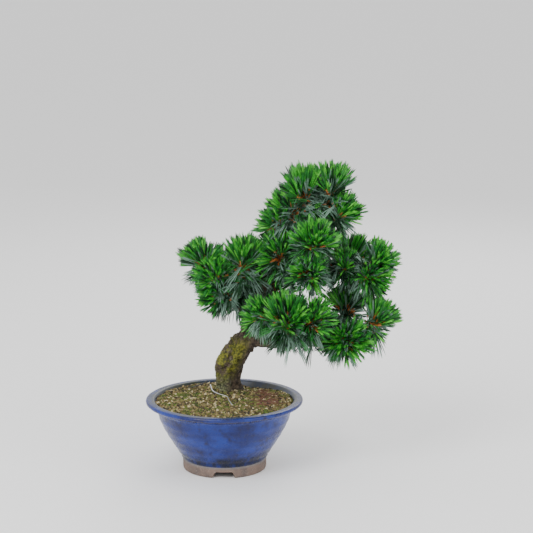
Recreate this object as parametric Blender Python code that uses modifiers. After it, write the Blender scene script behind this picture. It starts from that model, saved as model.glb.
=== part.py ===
# Potted Japanese white pine, kept as a bonsai in a round glazed pot.
# Metres, +Z up. The pot stands on z = 0, x runs to the right of the front and y away from it.
# Every place in the tables below is measured from the middle of the pot's foot.

import math

import bmesh
import bpy
import numpy as np
from mathutils import Matrix, Vector

# Clearance kept between pieces that touch
GAP = 0.0003

# A cut never leaves more than this share of what was there
SURE_SHARE = 1.000001

# Place of the pot's axis, so that the box of the whole plant is centred over the origin
POT_AXIS = Vector((-0.0785, 0.0, 0.0))

# Pot
POT_HEIGHT = 0.1135
LIP_RADIUS = 0.125
LIP_THICKNESS = 0.007
LIP_WIDTH = 0.0125
NECK_RADIUS = 0.108
NECK_HEIGHT = 0.098
WALL = 0.0085
LEDGE_RADIUS = 0.0694
LEDGE_TOP = 0.024
LEDGE_BOTTOM = 0.020
FOOT_RADIUS = 0.0668
FOOT_INNER_RADIUS = 0.0560
FOOT_HEIGHT = 0.0120
FLOOR_THICKNESS = 0.0080
DRAIN_RADIUS = 0.0100
BODY_STATIONS = ((0.083, 0.1038), (0.066, 0.0960), (0.049, 0.0860), (0.034, 0.0765))
POT_STEPS = 28
NOTCH_ANGLES = (-90.0, 30.0, 150.0)
NOTCH_FOOT_WIDTH = 0.034
NOTCH_TOP_WIDTH = 0.021
NOTCH_HEIGHT = 0.0105

# Soil
SOIL_LEVEL = 0.1085
MOUND_HEIGHT = 0.0090
MOUND_SPREAD = 0.030
DIP_PLACE = (0.045, 0.100)
DIP_DEPTH = 0.0070
DIP_SPREAD = 0.035

# Trunk: route of its middle line, and its radius at each station of the route
GROUND = 0.1120
TRUNK_ROUTE = (
    (0.0055, 0.0460, GROUND), (0.0045, 0.0450, 0.1260), (0.0055, 0.0420, 0.1480),
    (0.0115, 0.0385, 0.1680), (0.0235, 0.0340, 0.1880), (0.0370, 0.0300, 0.2060),
    (0.0465, 0.0270, 0.2340), (0.0520, 0.0240, 0.2680), (0.0630, 0.0200, 0.3010),
    (0.0840, 0.0150, 0.3310), (0.1040, 0.0100, 0.3600), (0.1170, 0.0060, 0.3920),
    (0.1260, 0.0020, 0.4180), (0.1300, 0.0000, 0.4400))
TRUNK_RADII = (0.0215, 0.0195, 0.0205, 0.0212, 0.0205, 0.0178, 0.0110,
               0.0085, 0.0075, 0.0065, 0.0055, 0.0045, 0.0035, 0.0025)
FLARE_WIDTH = 0.0050
FLARE_HEIGHT = 0.0110
FLARE_ROOTS = 5

# Boughs: the limb each one leaves and how far along it, the points it passes, the mass of
# needles that it ends in, and its radius where it leaves and where it ends
BOUGHS = {
    "bough_low_right": ("trunk", 0.275, ((0.0740, 0.0150, 0.2030), (0.1100, 0.0000, 0.2065),
                                        (0.1480, -0.0120, 0.2085), (0.1950, -0.0150, 0.2180)),
                        "foliage_low_right", 0.0125, 0.0040),
    "bough_low_right_back": ("bough_low_right", 0.60, ((0.1740, 0.0120, 0.2240),),
                             "foliage_low_right_back", 0.0050, 0.0030),
    "bough_low_right_front": ("bough_low_right", 0.62, ((0.1800, -0.0330, 0.2140),),
                              "foliage_low_right_front", 0.0048, 0.0028),
    "bough_front": ("bough_low_right", 0.28, ((0.0960, -0.0250, 0.2160), (0.0990, -0.0520, 0.2330)),
                    "foliage_front", 0.0065, 0.0034),
    "bough_front_left": ("bough_front", 0.52, ((0.0850, -0.0470, 0.2380),),
                         "foliage_front_left", 0.0036, 0.0024),
    "bough_front_right": ("bough_front", 0.58, ((0.1140, -0.0550, 0.2380),),
                          "foliage_front_right", 0.0036, 0.0024),
    "bough_left": ("trunk", 0.315, ((0.0300, 0.0230, 0.2440), (0.0220, 0.0180, 0.2640),
                                   (0.0060, 0.0130, 0.2840), (-0.0110, 0.0080, 0.3050)),
                   "foliage_left_far", 0.0060, 0.0028),
    "bough_left_riser": ("bough_left", 0.40, ((0.0260, 0.0140, 0.2880),),
                         "foliage_left_mid", 0.0040, 0.0026),
    "bough_left_back": ("bough_left", 0.55, ((-0.0010, 0.0330, 0.2900),),
                        "foliage_left_back", 0.0036, 0.0024),
    "bough_back_low": ("trunk", 0.385, ((0.0550, 0.0520, 0.2500),),
                       "foliage_back_low", 0.0055, 0.0030),
    "bough_right": ("trunk", 0.635, ((0.1150, 0.0190, 0.3250), (0.1600, 0.0190, 0.3210),
                                    (0.2050, 0.0120, 0.3220)),
                    "foliage_right", 0.0058, 0.0028),
    "bough_right_back": ("bough_right", 0.48, ((0.1740, 0.0350, 0.3190),),
                         "foliage_right_back", 0.0036, 0.0024),
    "bough_back_high": ("trunk", 0.7, ((0.0960, 0.0430, 0.3430),),
                        "foliage_back_high", 0.0044, 0.0026),
    "bough_centre": ("trunk", 0.755, ((0.1160, -0.0090, 0.3600),),
                     "foliage_centre", 0.0042, 0.0026),
    "bough_centre_low": ("trunk", 0.65, ((0.0980, -0.0080, 0.3210),),
                         "foliage_centre_low", 0.0040, 0.0026),
    "bough_shoulder": ("trunk", 0.775, ((0.1000, 0.0030, 0.3720),),
                       "foliage_shoulder", 0.0036, 0.0024),
    "bough_top_side": ("trunk", 0.83, ((0.1420, 0.0030, 0.3860),),
                       "foliage_top_side", 0.0036, 0.0024),
    "bough_top_back": ("trunk", 0.87, ((0.1280, 0.0230, 0.3980),),
                       "foliage_top_back", 0.0034, 0.0022),
    "bough_top_right": ("trunk", 0.905, ((0.1430, 0.0030, 0.4180),),
                        "foliage_top_right", 0.0036, 0.0024),
}
STUB_FROM = ("bough_low_right", 0.64)
STUB_END = (0.1500, -0.0270, 0.2020)
STUB_RADII = (0.0050, 0.0042)

# Masses of needles: the place that their shoots spread from, the way they face, how far they
# reach, half the angle of the spread in degrees, and the number of shoots in the mass
MASSES = {
    "foliage_top": ((0.127, -0.002, 0.432), (-0.10, -0.05, 1.00), 0.065, 26, 5),
    "foliage_top_right": ((0.166, 0.000, 0.438), (0.22, 0.00, 1.00), 0.062, 34, 5),
    "foliage_top_left": ((0.107, -0.006, 0.412), (-0.62, -0.25, 0.85), 0.052, 34, 4),
    "foliage_top_side": ((0.176, -0.004, 0.407), (0.75, -0.15, 0.65), 0.051, 46, 5),
    "foliage_top_back": ((0.140, 0.045, 0.408), (0.10, 0.85, 0.60), 0.058, 50, 5),
    "foliage_shoulder": ((0.089, -0.004, 0.392), (-0.72, -0.15, 0.62), 0.046, 46, 4),
    "foliage_centre": ((0.141, -0.048, 0.368), (0.00, -0.60, 0.70), 0.050, 58, 6),
    "foliage_centre_low": ((0.135, -0.045, 0.324), (0.10, -0.80, 0.20), 0.044, 62, 5),
    "foliage_waist": ((0.088, -0.006, 0.344), (-0.62, -0.45, 0.35), 0.050, 58, 5),
    "foliage_right": ((0.238, 0.000, 0.331), (0.66, -0.10, 0.66), 0.045, 48, 5),
    "foliage_right_low": ((0.226, -0.012, 0.314), (0.50, -0.45, -0.20), 0.046, 56, 5),
    "foliage_right_inner": ((0.190, 0.006, 0.322), (-0.10, -0.25, 1.00), 0.040, 50, 4),
    "foliage_right_back": ((0.198, 0.060, 0.322), (0.30, 0.85, 0.35), 0.056, 56, 5),
    "foliage_left_far": ((-0.030, 0.003, 0.327), (-0.66, -0.05, 0.70), 0.052, 38, 5),
    "foliage_left_mid": ((0.031, 0.000, 0.322), (0.06, -0.15, 1.00), 0.062, 34, 6),
    "foliage_left_top": ((-0.010, -0.009, 0.309), (-0.32, -0.65, 0.55), 0.046, 52, 5),
    "foliage_left_low": ((-0.001, -0.004, 0.281), (-0.85, -0.30, -0.05), 0.048, 50, 5),
    "foliage_left_back": ((-0.006, 0.058, 0.298), (-0.40, 0.85, 0.35), 0.056, 56, 5),
    "foliage_front": ((0.100, -0.080, 0.252), (0.00, -0.60, 0.85), 0.060, 50, 6),
    "foliage_front_left": ((0.063, -0.066, 0.259), (-0.70, -0.45, 0.45), 0.043, 50, 5),
    "foliage_front_right": ((0.136, -0.074, 0.254), (0.60, -0.50, 0.45), 0.048, 52, 5),
    "foliage_front_under": ((0.096, -0.066, 0.233), (0.00, -0.60, -0.75), 0.029, 56, 4),
    "foliage_low_right": ((0.234, -0.016, 0.238), (0.68, -0.15, 0.58), 0.051, 50, 6),
    "foliage_low_right_front": ((0.190, -0.048, 0.220), (0.15, -0.75, -0.15), 0.050, 60, 6),
    "foliage_low_right_back": ((0.194, 0.028, 0.246), (0.05, 0.40, 0.90), 0.052, 54, 6),
    "foliage_back_low": ((0.070, 0.078, 0.268), (0.05, 0.80, 0.50), 0.060, 56, 6),
    "foliage_back_high": ((0.104, 0.074, 0.340), (0.00, 0.80, 0.55), 0.058, 56, 6),
}
MASS_SEGMENTS = 10
MASS_RINGS = 7
MASS_BACK = 0.42
MASS_FADE = 75.0
MASS_DIP = 0.20
MASS_SHOOT_WIDTH = 17.0
BOUGH_INSET = 0.24
GOLDEN_ANGLE = 2.399963

# Tie wires: places on the soil, with their height over it
WIRE_RADIUS = 0.0009
WIRE_ROUTE = ((-0.0240, 0.0420, 0.0080), (-0.0190, 0.0260, 0.0020), (-0.0070, 0.0130, 0.0004),
              (0.0040, 0.0040, 0.0004), (0.0080, -0.0130, 0.0004), (0.0130, -0.0350, 0.0004))
TWIST_RADIUS = 0.0014
TWIST_ROUTE = ((-0.0610, 0.0700, 0.0006), (-0.0520, 0.0650, 0.0030),
               (-0.0400, 0.0580, 0.0080), (-0.0300, 0.0520, 0.0130))


def collection(name):
    """A collection of this name, linked to the scene."""
    made = bpy.data.collections.new(name)
    bpy.context.scene.collection.children.link(made)
    return made


def material(name, colour, roughness, metallic=0.0):
    """A plain Principled material."""
    made = bpy.data.materials.new(name)
    made.use_nodes = True
    shader = made.node_tree.nodes["Principled BSDF"]
    shader.inputs["Base Color"].default_value = (*colour, 1.0)
    shader.inputs["Roughness"].default_value = roughness
    shader.inputs["Metallic"].default_value = metallic
    return made


def evaluated_mesh(obj):
    """The object's mesh with its modifiers applied, its close points joined, in triangles."""
    bpy.context.view_layer.update()
    depsgraph = bpy.context.evaluated_depsgraph_get()
    mesh = bpy.data.meshes.new_from_object(obj.evaluated_get(depsgraph))
    work = bmesh.new()
    work.from_mesh(mesh)
    bmesh.ops.remove_doubles(work, verts=work.verts, dist=0.000002)
    bmesh.ops.triangulate(work, faces=work.faces, quad_method="FIXED")
    work.to_mesh(mesh)
    work.free()
    return mesh


def keep_main_body(mesh):
    """Leave only the largest connected body of a mesh that was cut."""
    work = bmesh.new()
    work.from_mesh(mesh)
    waiting = set(work.faces)
    bodies = []
    while waiting:
        body = [waiting.pop()]
        for face in body:
            for edge in face.edges:
                near = [other for other in edge.link_faces if other in waiting]
                waiting.difference_update(near)
                body.extend(near)
        bodies.append(body)
    bodies.sort(key=lambda body: sum(face.calc_area() for face in body))
    crumbs = [face for body in bodies[:-1] for face in body]
    bmesh.ops.delete(work, geom=crumbs, context="FACES")
    work.to_mesh(mesh)
    work.free()


def boxes_meet(one, other):
    """True if the boxes round two mesh objects overlap."""
    spans = []
    for obj in (one, other):
        points = np.array([vertex.co for vertex in obj.data.vertices])
        spans.append((points.min(axis=0), points.max(axis=0)))
    (low_a, high_a), (low_b, high_b) = spans
    return bool(np.all(low_a < high_b) and np.all(low_b < high_a))


def volume(mesh):
    """The volume inside a closed mesh."""
    work = bmesh.new()
    work.from_mesh(mesh)
    found = work.calc_volume(signed=True)
    work.free()
    return found


def cut(obj, cutters):
    """Take every cutter that meets the object away from it, one Boolean at a time."""
    for cutter in cutters:
        if not boxes_meet(obj, cutter):
            continue
        old = obj.data
        boolean = obj.modifiers.new("cut", "BOOLEAN")
        boolean.operation = "DIFFERENCE"
        boolean.object = cutter
        for solver in ("EXACT", "MANIFOLD"):
            boolean.solver = solver
            mesh = evaluated_mesh(obj)
            keep_main_body(mesh)
            if 0.0 < volume(mesh) <= volume(old) * SURE_SHARE:
                break
        obj.modifiers.clear()
        obj.data = mesh
        bpy.data.meshes.remove(old)


def add_part(name, mesh, finish):
    """A named sub-part of the plant, standing on the empty that carries them all."""
    obj = bpy.data.objects.new(name, mesh)
    mesh.materials.clear()
    mesh.materials.append(finish)
    PLANT.objects.link(obj)
    obj.parent = STAND
    return obj


def add_cutter(name, mesh):
    """A hidden solid in the same place as the sub-parts, which only cuts others."""
    obj = bpy.data.objects.new(name, mesh)
    CUTTERS.objects.link(obj)
    obj.parent = STAND
    obj.hide_render = True
    obj.display_type = "WIRE"
    return obj


def screwed_mesh(outline, steps, closed):
    """Turn an outline of (radius, height) points once round the Z axis."""
    mesh = bpy.data.meshes.new("outline")
    ends = range(len(outline) if closed else len(outline) - 1)
    edges = [(index, (index + 1) % len(outline)) for index in ends]
    mesh.from_pydata([(radius, 0.0, height) for radius, height in outline], edges, [])
    obj = bpy.data.objects.new("outline", mesh)
    CUTTERS.objects.link(obj)
    screw = obj.modifiers.new("turn", "SCREW")
    screw.steps = steps
    screw.render_steps = steps
    screw.use_merge_vertices = True
    screw.merge_threshold = 0.00001
    turned = evaluated_mesh(obj)
    bpy.data.objects.remove(obj)
    work = bmesh.new()
    work.from_mesh(turned)
    bmesh.ops.recalc_face_normals(work, faces=work.faces)
    work.to_mesh(turned)
    work.free()
    return turned


def pot_outline():
    """The pot's closed wall section, down its outer side and up its inner side."""
    lip_bottom = POT_HEIGHT - LIP_THICKNESS
    bevel = 0.3 * LIP_THICKNESS
    floor = FOOT_HEIGHT + FLOOR_THICKNESS
    outer = [(LIP_RADIUS - LIP_WIDTH, POT_HEIGHT), (LIP_RADIUS - bevel, POT_HEIGHT),
             (LIP_RADIUS, POT_HEIGHT - bevel), (LIP_RADIUS, lip_bottom + bevel),
             (LIP_RADIUS - 2.0 * bevel, lip_bottom), (NECK_RADIUS, NECK_HEIGHT)]
    outer += [(radius, height) for height, radius in BODY_STATIONS]
    outer += [(LEDGE_RADIUS, LEDGE_TOP), (LEDGE_RADIUS, LEDGE_BOTTOM),
              (FOOT_RADIUS, LEDGE_BOTTOM - 0.002), (FOOT_RADIUS, 0.0)]
    under = [(FOOT_INNER_RADIUS, 0.0), (FOOT_INNER_RADIUS, FOOT_HEIGHT),
             (DRAIN_RADIUS, FOOT_HEIGHT), (DRAIN_RADIUS, floor)]
    return outer + under + inner_stations()


def inner_stations():
    """The stations up the inside of the pot's wall, from its floor to the neck."""
    floor = FOOT_HEIGHT + FLOOR_THICKNESS
    low, mid = BODY_STATIONS[-1], BODY_STATIONS[1]
    return [(low[1] - 2.4 * WALL, floor), (low[1] - 0.9 * WALL, low[0] + 0.2 * WALL),
            (mid[1] - WALL, mid[0]), (NECK_RADIUS - WALL, NECK_HEIGHT - 0.4 * WALL)]


def notch_cutter(angle):
    """An arched notch that lets water out under the foot ring, facing the angle."""
    work = bmesh.new()
    bmesh.ops.create_cube(work, size=1.0)
    length = 1.6 * (FOOT_RADIUS - FOOT_INNER_RADIUS)
    middle = 0.5 * (FOOT_RADIUS + FOOT_INNER_RADIUS)
    for vertex in work.verts:
        top = vertex.co.z > 0.0
        width = NOTCH_TOP_WIDTH if top else NOTCH_FOOT_WIDTH
        height = NOTCH_HEIGHT if top else -NOTCH_HEIGHT
        vertex.co = (middle + vertex.co.x * length, vertex.co.y * width, height)
    turn = Matrix.Rotation(math.radians(angle), 4, "Z")
    bmesh.ops.transform(work, matrix=turn, verts=work.verts)
    mesh = bpy.data.meshes.new("notch")
    work.to_mesh(mesh)
    work.free()
    return add_cutter("notch", mesh)


def make_pot():
    """The turned pot with its rolled lip, ledge and foot ring, notched three times."""
    mesh = screwed_mesh(pot_outline(), POT_STEPS, closed=True)
    pot = add_part("pot", mesh, material("blue_glaze", (0.035, 0.065, 0.250), 0.25))
    cut(pot, [notch_cutter(angle) for angle in NOTCH_ANGLES])
    return pot


def soil_height(x, y):
    """Height of the soil: level, mounded to the trunk and sunk beside the wall at the back."""
    foot = TRUNK_ROUTE[0]
    to_trunk = (x - foot[0]) ** 2 + (y - foot[1]) ** 2
    to_dip = (x - DIP_PLACE[0]) ** 2 + (y - DIP_PLACE[1]) ** 2
    mound = MOUND_HEIGHT * math.exp(-to_trunk / (2.0 * MOUND_SPREAD ** 2))
    dip = DIP_DEPTH * math.exp(-to_dip / (2.0 * DIP_SPREAD ** 2))
    return SOIL_LEVEL + mound - dip


def make_soil(cutters):
    """The ball of soil that fills the pot, with an uneven top."""
    floor, bend, mid, neck = inner_stations()
    lip = (LIP_RADIUS - LIP_WIDTH, POT_HEIGHT)
    edge = np.interp(SOIL_LEVEL, (neck[1], lip[1]), (neck[0], lip[0]))
    top = [(share * edge - GAP, SOIL_LEVEL) for share in (0.36, 0.70, 1.0)]
    side = [(neck[0] - GAP, neck[1]), (mid[0] - GAP, mid[1]), (bend[0] - GAP, bend[1] + GAP),
            (floor[0], floor[1] + GAP)]
    outline = [(0.0, SOIL_LEVEL)] + top + side + [(0.0, floor[1] + GAP)]
    mesh = screwed_mesh(outline, POT_STEPS, closed=False)
    for vertex in mesh.vertices:
        if vertex.co.z > SOIL_LEVEL - GAP:
            vertex.co.z = soil_height(vertex.co.x, vertex.co.y)
            room = np.interp(vertex.co.z, (neck[1], lip[1]), (neck[0], lip[0])) - GAP
            reach = math.hypot(vertex.co.x, vertex.co.y)
            if reach > room:
                vertex.co.xy *= room / reach
    soil = add_part("soil", mesh, material("soil_grains", (0.200, 0.150, 0.075), 0.95))
    cut(soil, cutters)
    return soil


def smooth_route(points, per_span):
    """Points along a Catmull-Rom curve through the given ones."""
    knots = np.array(points, dtype=float)
    ends = (2.0 * knots[0] - knots[1], 2.0 * knots[-1] - knots[-2])
    knots = np.vstack((ends[0], knots, ends[1]))
    route = []
    for index in range(1, len(knots) - 2):
        before, start, end, after = knots[index - 1:index + 3]
        for step in range(per_span):
            t = step / per_span
            route.append(0.5 * (2.0 * start + (end - before) * t
                                + (2.0 * before - 5.0 * start + 4.0 * end - after) * t ** 2
                                + (3.0 * start - before - 3.0 * end + after) * t ** 3))
    route.append(knots[-2])
    return np.array(route)


def place_along(route, share):
    """The point at this share of the route's length."""
    steps = np.linalg.norm(np.diff(route, axis=0), axis=1)
    passed = np.concatenate(([0.0], np.cumsum(steps)))
    return np.array([np.interp(share * passed[-1], passed, route[:, axis]) for axis in range(3)])


def tube_mesh(route, radii, sides, grow=0.0):
    """A closed tapering tube along the route, made as a curve with filled caps."""
    route = np.array(route, dtype=float)
    for end, inner in ((0, 1), (-1, -2)):
        way = route[end] - route[inner]
        route[end] = route[end] + grow * way / np.linalg.norm(way)
    curve = bpy.data.curves.new("tube", "CURVE")
    curve.dimensions = "3D"
    curve.bevel_depth = 1.0
    curve.bevel_resolution = sides // 2 - 2
    curve.use_fill_caps = True
    spline = curve.splines.new("POLY")
    spline.points.add(len(route) - 1)
    for point, place, radius in zip(spline.points, route, radii):
        point.co = (*place, 1.0)
        point.radius = radius + grow
    obj = bpy.data.objects.new("tube", curve)
    CUTTERS.objects.link(obj)
    mesh = evaluated_mesh(obj)
    bpy.data.objects.remove(obj)
    bpy.data.curves.remove(curve)
    return mesh


def add_flare(mesh):
    """Spread the foot of the trunk into a few roots that sink into the soil."""
    foot = TRUNK_ROUTE[0]
    work = bmesh.new()
    work.from_mesh(mesh)
    lowest = min(vertex.co.z for vertex in work.verts)
    for vertex in work.verts:
        height = vertex.co.z - lowest
        out = Vector((vertex.co.x - foot[0], vertex.co.y - foot[1], 0.0))
        if height < 4.0 * FLARE_HEIGHT:
            root = 0.6 + 0.4 * math.cos(FLARE_ROOTS * math.atan2(out.y, out.x) + 0.6)
            fade = math.exp(-height / FLARE_HEIGHT)
            vertex.co += out.normalized() * FLARE_WIDTH * root * fade
    base = [face for face in work.faces if max(v.co.z for v in face.verts) < lowest + GAP]
    whole = bmesh.ops.dissolve_faces(work, faces=base)["region"]
    bmesh.ops.poke(work, faces=whole)
    work.to_mesh(mesh)
    work.free()


def make_trunk():
    """The leaning trunk, whole from its flat cut at the soil to its tip."""
    route = smooth_route(TRUNK_ROUTE, 2)
    route[0][2] = GROUND
    stations = np.linspace(0.0, 1.0, len(TRUNK_RADII))
    radii = np.interp(np.linspace(0.0, 1.0, len(route)), stations, TRUNK_RADII)
    route[1][:2] = route[0][:2]
    solids = []
    for grow in (0.0, GAP):
        mesh = tube_mesh(route, radii, 12, grow)
        add_flare(mesh)
        solids.append(mesh)
    trunk = add_part("trunk", solids[0], material("bark", (0.120, 0.095, 0.050), 0.9))
    ROUTES["trunk"] = route
    LIMBS.append(add_cutter("trunk_room", solids[1]))
    return trunk


def make_limb(name, route, radii, finish):
    """One tapering limb, cut to meet the limbs that were made before it."""
    sizes = np.interp(np.linspace(0.0, 1.0, len(route)), (0.0, 1.0), radii)
    sides = 8 if radii[0] > 0.0058 else 6
    limb = add_part(name, tube_mesh(route, sizes, sides), finish)
    cut(limb, LIMBS)
    ROUTES[name] = route
    LIMBS.append(add_cutter(name + "_room", tube_mesh(route, sizes, sides, GAP)))
    return limb


def make_boughs():
    """Every bough of the table, each from its parent limb to the mass it carries."""
    for name, (parent, share, passes, mass, start, end) in BOUGHS.items():
        shoots_from, facing, reach = MASSES[mass][:3]
        inset = BOUGH_INSET * reach * np.array(Vector(facing).normalized())
        knots = [place_along(ROUTES[parent], share), *passes, np.array(shoots_from) - inset]
        finish = material(name + "_bark", (0.130, 0.085, 0.050), 0.9)
        make_limb(name, smooth_route(knots, 2), (start, end), finish)


def make_stub():
    """The short stump left on the low right bough where a shoot was pruned."""
    parent, share = STUB_FROM
    route = smooth_route([place_along(ROUTES[parent], share), STUB_END], 3)
    make_limb("pruned_stub", route, STUB_RADII, material("cut_wood", (0.300, 0.200, 0.110), 0.8))


def shoot_directions(facing, spread, count):
    """Directions of a mass's shoots: spread evenly round the way that the mass faces."""
    turn = Vector(facing).normalized().to_track_quat("Z", "Y")
    found = []
    for index in range(count):
        lean = math.radians(spread) * math.sqrt((index + 0.5) / count)
        around = index * GOLDEN_ANGLE
        flat = math.sin(lean)
        found.append(turn @ Vector((flat * math.cos(around), flat * math.sin(around),
                                    math.cos(lean))))
    return found


def mass_mesh(shoots_from, facing, reach, spread, count, grow=0.0):
    """A closed fan of needles: long in front, short behind, with a swelling at each shoot."""
    axis = Vector(facing).normalized()
    shoots = shoot_directions(facing, spread, count)
    turn = axis.to_track_quat("Z", "Y").to_matrix().to_4x4()
    work = bmesh.new()
    bmesh.ops.create_uvsphere(work, u_segments=MASS_SEGMENTS, v_segments=MASS_RINGS, radius=1.0,
                              matrix=turn)
    for vertex in work.verts:
        way = vertex.co.normalized()
        past = math.degrees(way.angle(axis)) - spread
        fade = min(max(past / MASS_FADE, 0.0), 1.0)
        fade = fade * fade * (3.0 - 2.0 * fade)
        nearest = min(math.degrees(way.angle(shoot)) for shoot in shoots)
        swelling = math.exp(-(nearest / MASS_SHOOT_WIDTH) ** 2)
        length = reach * (1.0 - (1.0 - MASS_BACK) * fade)
        length *= 1.0 - MASS_DIP * (1.0 - swelling) * (1.0 - fade)
        vertex.co = Vector(shoots_from) + way * (length + grow)
    bmesh.ops.triangulate(work, faces=work.faces, quad_method="FIXED")
    mesh = bpy.data.meshes.new("mass")
    work.to_mesh(mesh)
    work.free()
    return mesh


def make_masses():
    """Every mass of needles, cut round the limbs and round the masses made before it."""
    others = []
    for name, sizes in MASSES.items():
        finish = material(name + "_green", (0.060, 0.220, 0.040), 0.6)
        mass = add_part(name, mass_mesh(*sizes), finish)
        cut(mass, LIMBS + others)
        others.append(add_cutter(name + "_room", mass_mesh(*sizes, grow=GAP)))


def make_wire(name, places, radius, finish):
    """A tie wire along places given as x, y and height over the soil."""
    knots = [(x, y, soil_height(x, y) + over) for x, y, over in places]
    route = smooth_route(knots, 3)
    radii = [radius] * len(route)
    wire = add_part(name, tube_mesh(route, radii, 6), finish)
    cut(wire, LIMBS)
    return add_cutter(name + "_room", tube_mesh(route, radii, 6, GAP))


for leftover in list(bpy.data.objects):
    bpy.data.objects.remove(leftover)

PLANT = collection("potted_japanese_white_pine")
CUTTERS = collection("cutters")
STAND = bpy.data.objects.new("stand", None)
PLANT.objects.link(STAND)
STAND.location = POT_AXIS
ROUTES = {}
LIMBS = []

make_trunk()
make_boughs()
make_stub()
make_masses()
tie_rooms = [
    make_wire("tie_wire", WIRE_ROUTE, WIRE_RADIUS, material("aluminium", (0.62, 0.64, 0.66), 0.4, 1.0)),
    make_wire("twisted_tie", TWIST_ROUTE, TWIST_RADIUS, material("dark_wire", (0.1, 0.1, 0.1), 0.5, 1.0))]
make_pot()
make_soil(LIMBS[:1] + tie_rooms)
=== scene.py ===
# %% [markdown]
# A potted Japanese white pine, kept small as a bonsai: a thick leaning trunk under moss,
# bark boughs, fans of short needles held in fives, and a round pot in cobalt glaze.
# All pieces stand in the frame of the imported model, so it is loaded first and its box is kept.

# %% Load the frame
import math

import bpy
import numpy as np
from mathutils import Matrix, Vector


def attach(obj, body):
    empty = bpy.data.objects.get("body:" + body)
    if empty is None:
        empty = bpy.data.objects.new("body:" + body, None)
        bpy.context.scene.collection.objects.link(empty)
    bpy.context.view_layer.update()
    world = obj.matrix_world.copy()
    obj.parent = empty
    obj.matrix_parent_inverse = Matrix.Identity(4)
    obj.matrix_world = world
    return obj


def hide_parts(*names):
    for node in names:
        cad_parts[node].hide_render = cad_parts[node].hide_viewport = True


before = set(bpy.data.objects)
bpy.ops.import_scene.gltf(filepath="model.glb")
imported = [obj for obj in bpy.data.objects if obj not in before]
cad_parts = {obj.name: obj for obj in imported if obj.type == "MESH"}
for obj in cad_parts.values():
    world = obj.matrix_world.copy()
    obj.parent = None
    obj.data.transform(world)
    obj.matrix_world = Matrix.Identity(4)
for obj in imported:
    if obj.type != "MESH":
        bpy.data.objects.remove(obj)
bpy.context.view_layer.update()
POT_AXIS = np.array([-0.0785, 0.0, 0.0])

# %% [markdown]
# The picture was taken with a long lens that looks down a little. The height and the tilt come
# from the two ellipses that the lip and the foot draw.

# %% Camera
CAMERA_PLACE = (-0.0113, -2.516, 0.811)
CAMERA_TILT = math.radians(10.891)
LENS = 110.0
SENSOR_WIDTH = 36.0

view = bpy.data.cameras.new("camera")
view.lens = LENS
view.sensor_width = SENSOR_WIDTH
camera = bpy.data.objects.new("camera", view)
camera.location = CAMERA_PLACE
camera.rotation_euler = (math.pi / 2.0 - CAMERA_TILT, 0.0, 0.0)
bpy.context.scene.collection.objects.link(camera)
bpy.context.scene.camera = camera
print("lens", LENS, "mm")

# %% [markdown]
# Light is soft and even. A white sky does most of the work, and three large square lamps
# give the glaze its long gleams and part the needles from each other.

# %% Light
LIT_PLACE = Vector((0.0, 0.0, 0.22))
LAMPS = {
    "key": ((-1.1, -1.6, 1.9), 1.2, 46.0),
    "fill": ((1.6, -1.2, 1.3), 1.4, 14.0),
    "back": ((0.5, 1.8, 1.6), 1.2, 16.0),
}
SKY_STRENGTH = 1.2
WHITE = (1.0, 1.0, 1.0, 1.0)


def lamp(name, place, size, power):
    """A square area lamp that faces the middle of the plant."""
    light = bpy.data.lights.new(name, "AREA")
    light.size = size
    light.energy = power
    obj = bpy.data.objects.new(name, light)
    obj.location = place
    aim = LIT_PLACE - Vector(place)
    obj.rotation_euler = aim.to_track_quat("-Z", "Y").to_euler()
    bpy.context.scene.collection.objects.link(obj)


for name, (place, size, power) in LAMPS.items():
    lamp(name, place, size, power)
sky = bpy.data.worlds.new("soft_sky")
sky.use_nodes = True
backdrop = sky.node_tree.nodes["Background"]
backdrop.inputs["Color"].default_value = WHITE
backdrop.inputs["Strength"].default_value = SKY_STRENGTH
bpy.context.scene.world = sky
print(len(LAMPS), "lamps")

# %% [markdown]
# Every piece is a mesh made from whole numpy arrays. One helper turns arrays of points and
# faces into an object at the origin. Another gives the faces of a grid of points, which is
# all that a turned pot, a tube or a needle needs.

# %% Mesh from arrays
def piece(name, points, faces, materials, slots=None, smooth=True):
    """An object at the origin from arrays of points and of equally sided faces."""
    mesh = bpy.data.meshes.new(name)
    points = np.asarray(points, dtype=np.float32)
    faces = np.asarray(faces, dtype=np.int32)
    count, sides = faces.shape
    mesh.vertices.add(len(points))
    mesh.vertices.foreach_set("co", points.ravel())
    mesh.loops.add(count * sides)
    mesh.loops.foreach_set("vertex_index", faces.ravel())
    mesh.polygons.add(count)
    mesh.polygons.foreach_set("loop_start", np.arange(count, dtype=np.int32) * sides)
    for finish in materials:
        mesh.materials.append(finish)
    if slots is not None:
        mesh.polygons.foreach_set("material_index", np.asarray(slots, dtype=np.int32))
    mesh.polygons.foreach_set("use_smooth", np.full(count, smooth))
    mesh.update(calc_edges=True)
    mesh.validate()
    obj = bpy.data.objects.new(name, mesh)
    bpy.context.scene.collection.objects.link(obj)
    return obj


def grid_faces(rows, columns, close_rows=False):
    """Four-sided faces of a grid of points. Each row of points is a closed ring, and the last
    row joins the first one where that is asked for."""
    row = np.arange(rows if close_rows else rows - 1)[:, None]
    column = np.arange(columns)[None, :]
    below, right = (row + 1) % rows, (column + 1) % columns
    corners = (row * columns + column, row * columns + right,
               below * columns + right, below * columns + column)
    return np.stack(np.broadcast_arrays(*corners), axis=-1).reshape(-1, 4)


print("a grid of 4 rings of 3 points has", len(grid_faces(4, 3)), "faces")

# %% [markdown]
# Bark isn't smooth, and its plates should be real geometry. The relief is noise on a cubic
# lattice: each corner of a cell has its own value, mixed from its whole-number place with
# large primes, and a point takes a blend of the eight corners round it.

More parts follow.
